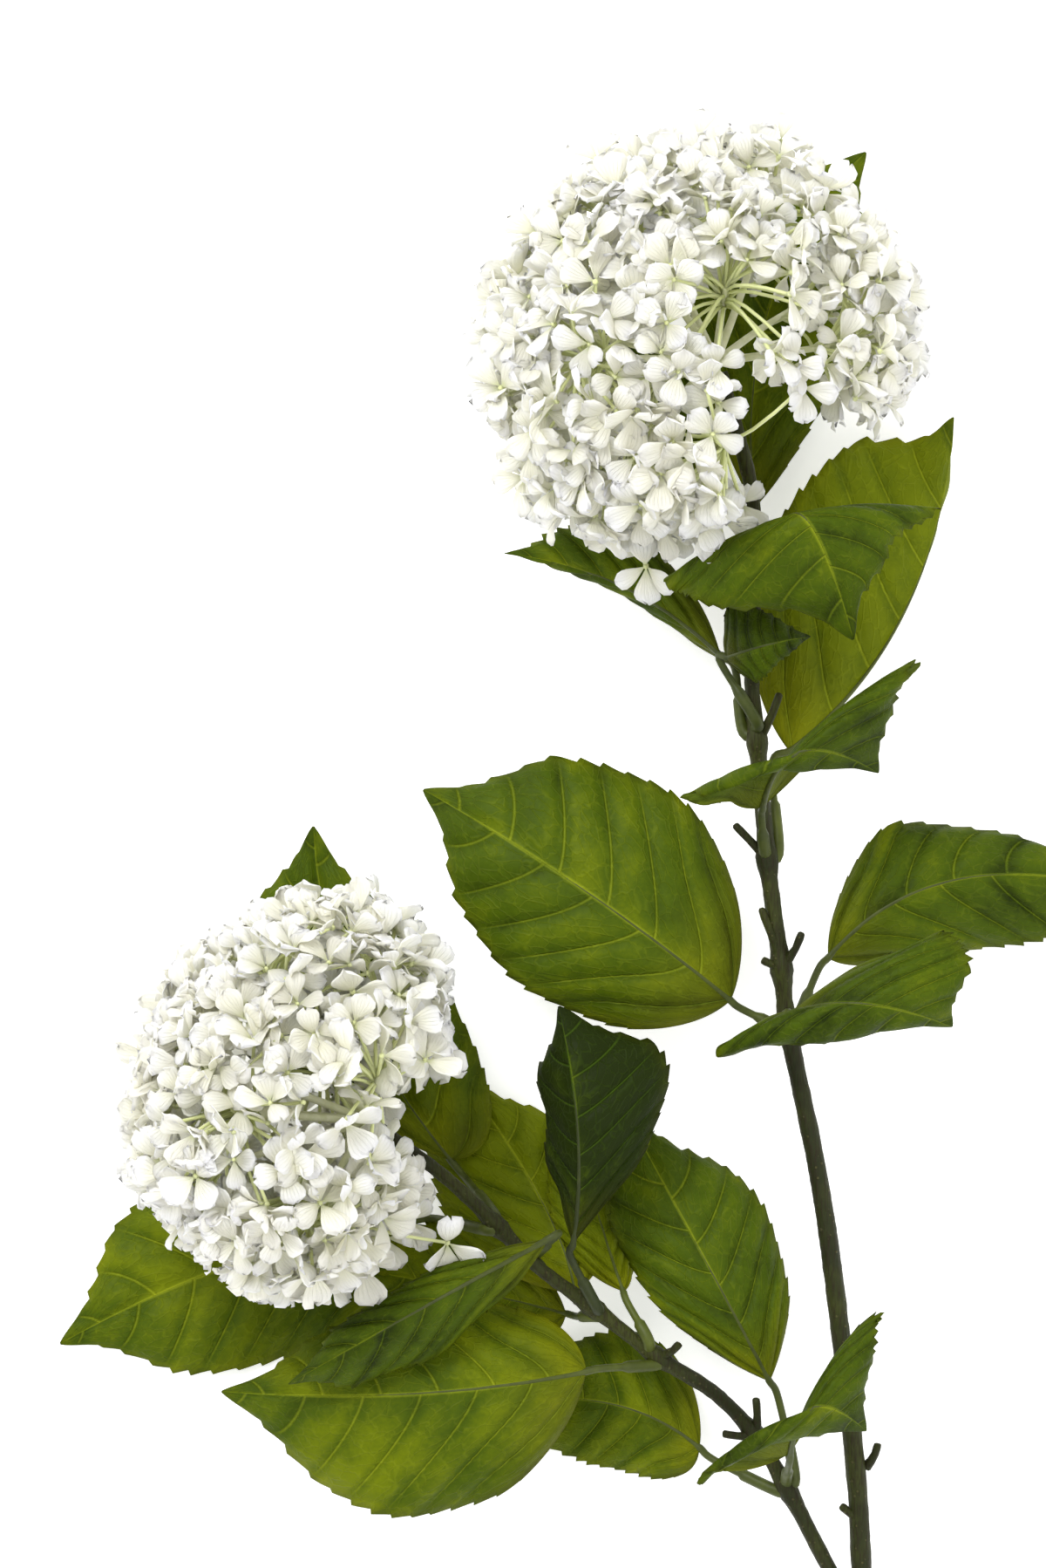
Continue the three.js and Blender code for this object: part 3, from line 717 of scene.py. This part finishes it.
def leaf(name, seed):
    sizes = LEAVES[name]
    deselect()
    bpy.ops.mesh.primitive_grid_add(x_subdivisions=LEAF_ACROSS, y_subdivisions=LEAF_ALONG, size=2)
    blade = bpy.context.object
    flat = vertices_of(blade)
    points, _, _ = blade_surface(sizes, flat[:, 0], (flat[:, 1] + 1) / 2, seed)
    points[:, 2] = np.maximum(points[:, 2], LOWEST_BLADE)
    set_vertices(blade, in_frame(points))
    blade.data.materials.append(leaf_top)
    blade.data.materials.append(leaf_back)
    bpy.ops.object.shade_smooth()
    bpy.ops.object.modifier_add(type="SOLIDIFY")
    blade.modifiers["Solidify"].thickness = BLADE_THICKNESS * MM
    blade.modifiers["Solidify"].offset = -1
    blade.modifiers["Solidify"].material_offset = 1
    bpy.ops.object.modifier_apply(modifier="Solidify")
    s = np.linspace(0, RIB_END, RIB_POINTS)
    _, midrib_line, normal = blade_surface(sizes, np.zeros(RIB_POINTS), s, seed)
    drop = normal * np.linspace(*RIB_DROPS, RIB_POINTS)[:, None]
    rib = stalk(name, sizes, midrib_line, drop)
    rib.data.materials.append(leaf_stalk)
    piece = joined([blade, rib], name + "_blade")
    tone = piece.data.attributes.new("tone", "FLOAT", "POINT")
    tone.data.foreach_set("value", np.full(len(piece.data.vertices), sizes["tone"]))
    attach(piece, "root")
    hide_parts(name)


for number, leaf_name in enumerate(LEAVES):
    leaf(leaf_name, LEAF_TO_LEAF * number)

# ---- Flower heads ----
# Each snowball is a branching cyme: the stem ends in a hub, pale rays run from it to eleven
# clusters, and every cluster carries florets of four white petals on thread-like stalks.

# centre, axis, across, along: a head's middle, the way its top faces and its half widths. gaps: a
# direction from the middle, and how many degrees round it are bare. bite: its open side over the
# leaves, with nothing right of x between two heights. clearing: nothing within a radius of a place.
# flats: a way and how far a head may reach that way, since it is pressed flat there. strays: the
# places and facings of single florets that hang out on their own.
HEADS = {
    "upper": {
        "centre": (49, 125, 58), "axis": (-0.5, 0.78, 0.37), "across": 63.5, "along": 55,
        "hub": (55.0, 120.2, 50.6), "florets": 500,
        "gaps": (
            ((0.15, 0.08, 0.98), 11), ((0.62, 0.06, 0.78), 7), ((-0.2, 0.28, 0.94), 4),
            ((-0.6, -0.26, 0.76), 6.5), ((0.66, 0.74, 0.0), 16), ((0.62, 0.68, -0.4), 18),
            ((0.25, -0.15, -0.95), 34),
        ),
        "bite": (60, -1000, 107),
        "clearing": (97, 177, 16),
        "flats": (),
        "strays": (
            ((35, 62, 52), (-0.2, -0.7, 0.7)), ((62, 79, 70), (0.5, -0.4, 0.75)),
            ((50, 183, 56), (-0.1, 0.8, 0.5)), ((63, 182, 50), (0.2, 0.8, 0.4)),
            ((22, 177, 50), (-0.3, 0.8, 0.4)),
        ),
    },
    "lower": {
        "centre": (-66.5, -88.5, 58), "axis": (-0.9, 0.38, 0.2), "across": 62, "along": 41.5,
        "hub": (-43.8, -95.9, 50.2), "florets": 450,
        "gaps": (((0.22, -0.2, 0.95), 7), ((0.88, 0.0, -0.45), 25)),
        "bite": (-42, -103, -79),
        "clearing": (0, 0, 0),
        "flats": (
            ((-0.67, -0.74, 0), 151), ((-1, 0, 0), 105), ((-0.5, 0.87, 0), -2), ((1, 0, 0), -28),
        ),
        "strays": (
            ((-21.5, -130, 60), (0.25, -0.75, 0.6)), ((-32, -124, 58), (0.5, -0.5, 0.7)),
            ((-37, -112, 66), (0.6, -0.1, 0.7)), ((-39, -129, 56), (0.3, -0.6, 0.7)),
            ((-34, -116, 50), (0.8, -0.1, 0.5)), ((-46, -136, 62), (0.1, -0.6, 0.8)),
        ),
    },
}
CLUSTER_RINGS = ((1, 0), (5, 60), (5, 112))  # how many clusters, at how many degrees from the top
CLUSTER_DOME = 0.45  # how far each cluster bulges out of the head
FLORET_DEPTH = 3.6  # from the head's outline down to a floret's eye
COVERED_TO = 150  # degrees from the top of the head down to the opening round the stem
CLUSTER_NODE = 0.7  # where a ray divides, as a share of the head
FLOOR_CLEARANCE = 4.5
SOFT_BELOW = 16  # petals lower than this give way to what lies under the head
PRESSED = 0.85
SCATTER = 0.045  # how unevenly florets are spread, then how much their depths and leans differ
DEPTH_SCATTER = 2.2
LEAN_SCATTER = 0.6
SMALLEST_FLORET = 0.84
FLORET_GROWTH = 0.3
PETAL_LENGTH = 10
PETAL_HALF_WIDTH = 3.8
PETAL_THICKNESS = 0.16
PETAL_ACROSS = 4
PETAL_ALONG = 6
FLORET_KINDS = 7
# For each kind of petal: how it cups across, arches along, and how many degrees it stands up.
PETAL_CUPS = (0.4, 1.1, -0.5, 1.5, 0.1, -0.9, 0.8)
PETAL_ARCHES = (1.2, 0.5, 2.0, 0.2, 1.5, 2.4, 0.9)
PETAL_OPENINGS = (14, 30, 5, 42, 22, -4, 34)
EYE_RADIUS = 0.85
THREAD_RADIUS = 0.55
THREAD_SPREAD = 0.35  # the share of a ray over which its florets' threads leave it
THREAD_BOW = 0.45
RAY_RADII = (1.25, 0.8)
RAY_POINTS = 14
RAY_BOW = 3
rng = np.random.default_rng(11)


def petal_template(kind):
    """One petal lying along +Y from the floret's eye, in millimetres."""
    deselect()
    bpy.ops.mesh.primitive_grid_add(x_subdivisions=PETAL_ACROSS, y_subdivisions=PETAL_ALONG, size=2)
    piece = bpy.context.object
    flat = vertices_of(piece)
    u = flat[:, 0]
    s = 1 - (1 - (flat[:, 1] + 1) / 2 * 0.985) ** 1.35
    width = s**1.05 * np.maximum(1 - s**4, 0) ** 0.5 / 0.605
    notch = 0.5 * np.exp(-((u / 0.35) ** 2)) * s**8
    ruffle = 0.8 * np.sin(4.0 * u + 5.0 * s + 1.9 * kind) * s**2
    cup = PETAL_CUPS[kind] * u**2 * width
    arch = PETAL_ARCHES[kind] * np.sin(math.pi * s * 0.85)
    x = PETAL_HALF_WIDTH * u * width * (1 + 0.1 * math.sin(2.2 * kind))
    y = 0.5 + (PETAL_LENGTH - notch) * s - 0.12 * np.abs(x)
    set_vertices(piece, np.c_[x, y, cup + arch + ruffle] * MM)
    bpy.ops.object.modifier_add(type="SOLIDIFY")
    piece.modifiers["Solidify"].thickness = PETAL_THICKNESS * MM
    piece.modifiers["Solidify"].offset = 0
    bpy.ops.object.modifier_apply(modifier="Solidify")
    return piece


def floret_template(kind):
    """Four petals round a small green eye, facing +Z, as plain arrays."""
    petals = []
    for quarter in range(4):
        petal = petal_template((kind + 2 * quarter) % FLORET_KINDS)
        opening = math.radians(PETAL_OPENINGS[(kind + quarter) % FLORET_KINDS])
        skew = math.radians(90 * quarter + 9 * math.sin(3.1 * kind + 5 * quarter))
        size = 1 + 0.1 * math.sin(1.7 * kind + 2.3 * quarter)
        turn = Matrix.Rotation(skew, 4, "Z") @ Matrix.Rotation(opening, 4, "X")
        petal.data.transform(turn @ Matrix.Scale(size, 4))
        petals.append(petal)
    deselect()
    bpy.ops.mesh.primitive_uv_sphere_add(segments=6, ring_count=4, radius=EYE_RADIUS * MM)
    eye = bpy.context.object
    for loop in eye.data.uv_layers[0].data:
        loop.uv = (0.5, 0.0)
    return as_arrays(joined(petals + [eye], "floret"))


def as_arrays(piece):
    """Takes a modelled piece off the table and keeps its corners, faces and map."""
    mesh = piece.data
    faces = [tuple(face.vertices) for face in mesh.polygons]
    uv = np.empty(len(mesh.loops) * 2)
    mesh.uv_layers[0].data.foreach_get("uv", uv)
    template = {"co": vertices_of(piece) / MM, "faces": faces, "uv": uv.reshape(-1, 2)}
    bpy.data.objects.remove(piece)
    return template


def thread_template():
    """A floret's own stalk: one unit long up +Z, its radius in millimetres."""
    deselect()
    bpy.ops.mesh.primitive_cylinder_add(vertices=5, radius=MM, depth=MM, end_fill_type="TRIFAN")
    thread = bpy.context.object
    bpy.ops.object.mode_set(mode="EDIT")
    for height in (-0.3, -0.1, 0.1, 0.3):
        bpy.ops.mesh.select_all(action="SELECT")
        bpy.ops.mesh.bisect(plane_co=(0, 0, height * MM), plane_no=(0, 0, 1))
    bpy.ops.object.mode_set(mode="OBJECT")
    template = as_arrays(thread)
    template["co"][:, 2] += 0.5
    template["uv"][:] = (0.5, 0.0)
    return template


def ellipsoid_radius(head, direction):
    along = float(direction @ head["axis"])
    across = math.sqrt(max(0, 1 - along**2))
    return 1 / math.hypot(along / head["along"], across / head["across"])


def head_basis(axis):
    """A turn that takes +Z to the axis."""
    turn = Vector((0, 0, 1)).rotation_difference(Vector(axis))
    return np.array(turn.to_matrix())


def polar_direction(polar, azimuth):
    ring = math.sin(polar)
    return np.array((ring * math.sin(azimuth), ring * math.cos(azimuth), math.cos(polar)))


def cluster_directions(head):
    directions = []
    for ring, (count, polar) in enumerate(CLUSTER_RINGS):
        for i in range(count):
            azimuth = 2 * math.pi * (i + 0.5 * ring) / count
            aside, ahead, up = polar_direction(math.radians(polar), azimuth)
            directions.append(head["turn"] @ np.array((ahead, aside, up)))
    return np.array(directions)


def in_gap(head, direction):
    for middle, reach in head["gaps"]:
        if unit(np.array(middle)) @ direction > math.cos(math.radians(reach)):
            return True
    return False


def on_open_side(head, eye):
    right_of, lowest, highest = head["bite"]
    x, y, radius = head["clearing"]
    bitten = eye[0] > right_of and lowest < eye[1] < highest
    return bitten or math.dist(eye[:2], (x, y)) < radius


def floret_places(head, centre, directions):
    """Where each floret's eye is, which way it faces, its spin and its tint."""
    lowest = math.cos(math.radians(COVERED_TO))
    for i in range(head["florets"]):
        height = 1 - (1 - lowest) * (i + 0.5) / head["florets"]
        # Each floret is a golden angle on from the one before, which spreads them evenly.
        local = polar_direction(math.acos(height), i * math.pi * (3 - math.sqrt(5)))
        direction = unit(head["turn"] @ local + rng.normal(0, SCATTER, 3))
        roll = rng.uniform(0, 2 * math.pi)
        depth = rng.normal(0, 1)
        tint = rng.uniform(0, 1)
        lean = rng.normal(0, LEAN_SCATTER, 3)
        if in_gap(head, direction):
            continue
        dome = 1 - CLUSTER_DOME * (1 - (directions @ direction).max())
        radius = ellipsoid_radius(head, direction) * dome - FLORET_DEPTH + DEPTH_SCATTER * depth
        eye = centre + direction * radius
        for flat, limit in head["flats"]:
            way = unit(np.array(flat))
            eye = eye - way * max(0.0, eye @ way - limit) * PRESSED
        if on_open_side(head, eye):
            continue
        yield eye, unit(direction + lean), roll, tint
    for i, (eye, way) in enumerate(head["strays"]):
        yield np.array(eye, float), unit(np.array(way)), 0.7 * i, 0.35 + 0.2 * i


def facing(normal, roll):
    """A turn that takes +Z to the normal and spins by roll about it."""
    turn = Vector((0, 0, 1)).rotation_difference(Vector(normal)).to_matrix()
    return np.array(turn @ Matrix.Rotation(roll, 3, "Z"))


def settled(points):
    """Soft petals under a head fold up where it lies on its leaves and the table."""
    height = points[:, 2]
    room = SOFT_BELOW - FLOOR_CLEARANCE
    squeezed = FLOOR_CLEARANCE + room * np.exp((height - SOFT_BELOW) / room)
    points[:, 2] = np.where(height < SOFT_BELOW, squeezed, height)
    return points


def gathered(name, parts):
    """One mesh object from copies of templates: each part is a template, its points and a tint."""
    co = np.vstack([points for _, points, _ in parts])
    faces = []
    start = 0
    for kind, points, _ in parts:
        faces.extend(tuple(v + start for v in face) for face in kind["faces"])
        start += len(points)
    mesh = bpy.data.meshes.new(name)
    mesh.from_pydata(in_frame(co).tolist(), [], faces)
    uv = np.vstack([kind["uv"] for kind, _, _ in parts])
    mesh.uv_layers.new(name="UVMap").data.foreach_set("uv", uv.ravel())
    tint = np.concatenate([np.full(len(points), value) for _, points, value in parts])
    mesh.attributes.new("tint", "FLOAT", "POINT").data.foreach_set("value", tint)
    mesh.polygons.foreach_set("use_smooth", np.ones(len(faces), bool))
    piece = bpy.data.objects.new(name, mesh)
    bpy.context.scene.collection.objects.link(piece)
    return piece


def petal_paint():
    """White that turns cream and then green towards the eye, with faint veins along it."""
    softness = {"Subsurface_Weight": 0.6, "Subsurface_Radius": (1, 1, 0.85), "Subsurface_Scale": 0.0015}
    paint = Paint("white_petal", Specular_IOR_Level=0.25, **softness)
    u, s = paint.along_map()
    tint = paint.attribute("tint")
    place = paint.place()
    clouds = paint.noise(place, 60.0, 3.0)
    streaks = paint.noise(paint.vector(u * 26.0 + tint * 40.0, s * 1.6), 1.0, 2.0)
    from_vein = abs((u * 7.0 + 0.6 * (clouds - 0.5)).fraction() - 0.5)
    veins = from_vein.step(0.42, 0.5) * s.step(0.98, 0.5)
    white = paint.mix(tint.step(0.3, 0.9), colour(254, 254, 254), colour(249, 246, 230))
    cream = paint.mix(clouds.step(0.35, 0.7), colour(239, 237, 202), colour(246, 243, 219))
    base = paint.mix(s.step(0.15, 0.95) * 0.92 + 0.05, cream, white)
    base = paint.mix(s.step(0.24, 0.0), base, colour(212, 218, 160))
    base = paint.mix(veins * 0.1 + streaks.step(0.5, 0.8) * 0.1, base, colour(228, 226, 204))
    height = streaks + 0.6 * veins
    return paint.finish(base, 0.55 + 0.15 * clouds, height, 0.00025)


def ray_paint():
    paint = Paint("pale_ray", Specular_IOR_Level=0.35)
    streaks = paint.noise(paint.place(), 220.0, 3.0)
    base = paint.mix(streaks.step(0.3, 0.7), colour(214, 216, 172), colour(236, 236, 208))
    return paint.finish(base, 0.5 + 0.1 * streaks, streaks, 0.00015)


petal_white = petal_paint()
ray_green = ray_paint()
floret_kinds = [floret_template(kind) for kind in range(FLORET_KINDS)]
thread = thread_template()


def stalked(start, end, radius, bow):
    """The thread bent from start to end, leaving the start along bow."""
    z = thread["co"][:, 2:3]
    line = start * (1 - z) ** 2 + 2 * z * (1 - z) * (start + bow) + end * z**2
    way = unit(end - start)
    aside = unit(np.cross(way, (0.31, 0.17, 0.93)))
    other = np.cross(way, aside)
    return line + radius * (thread["co"][:, :1] * aside + thread["co"][:, 1:2] * other)


def another_share(tint, spread):
    """A share from 0 to 1 that comes from the tint and looks unrelated to it."""
    return (tint * spread) % 1


def flower_head(name, head):
    head["axis"] = unit(np.array(head["axis"], float))
    head["turn"] = head_basis(head["axis"])
    centre = np.array(head["centre"], float)
    hub = np.array(head["hub"], float)
    directions = cluster_directions(head)
    forks = [centre + d * ellipsoid_radius(head, d) * CLUSTER_NODE for d in directions]
    clusters = [[] for _ in directions]

    # Every floret joins the cluster it is nearest, on a thread from that cluster's ray.
    for eye, way, roll, tint in floret_places(head, centre, directions):
        own = int(np.argmax(directions @ unit(eye - centre)))
        kind = floret_kinds[int(tint * 997) % FLORET_KINDS]
        size = SMALLEST_FLORET + FLORET_GROWTH * another_share(tint, 31)
        petals = kind["co"] @ facing(way, roll).T * size + eye
        clusters[own].append((kind, settled(petals), tint))
        start = forks[own] + (hub - forks[own]) * THREAD_SPREAD * another_share(tint, 57)
        bow = unit(start - hub) * np.linalg.norm(eye - start) * THREAD_BOW
        line = stalked(start, eye, THREAD_RADIUS, bow)
        clusters[own].append((thread, settled(line), tint))
    for i, parts in enumerate(clusters):
        piece = gathered(f"{name}_floret_cluster_{i + 1}", parts)
        piece.data.materials.append(petal_white)
        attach(piece, "root")
        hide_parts(f"{name}_florets_{i + 1}")

    # The rays that carry the clusters, each bent a little its own way.
    rays = []
    for i, fork in enumerate(forks):
        sway = np.array((1.5 * math.sin(2 * i), 1.5 * math.cos(3 * i), 1.0))
        bow = unit(fork - hub) * RAY_BOW + sway
        middle = (hub + fork) / 2 + bow * 0.4
        line = smooth_path((hub, middle, fork), RAY_POINTS)
        radii = np.linspace(*RAY_RADII, RAY_POINTS)
        rays.append(tube(f"ray_{i}", line, radii, TWIG_ROUNDNESS))
    piece = joined(rays, f"{name}_ray_fan")
    piece.data.materials.append(ray_green)
    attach(piece, "root")
    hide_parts(f"{name}_rays")


for head_name, head_sizes in HEADS.items():
    flower_head(head_name, head_sizes)
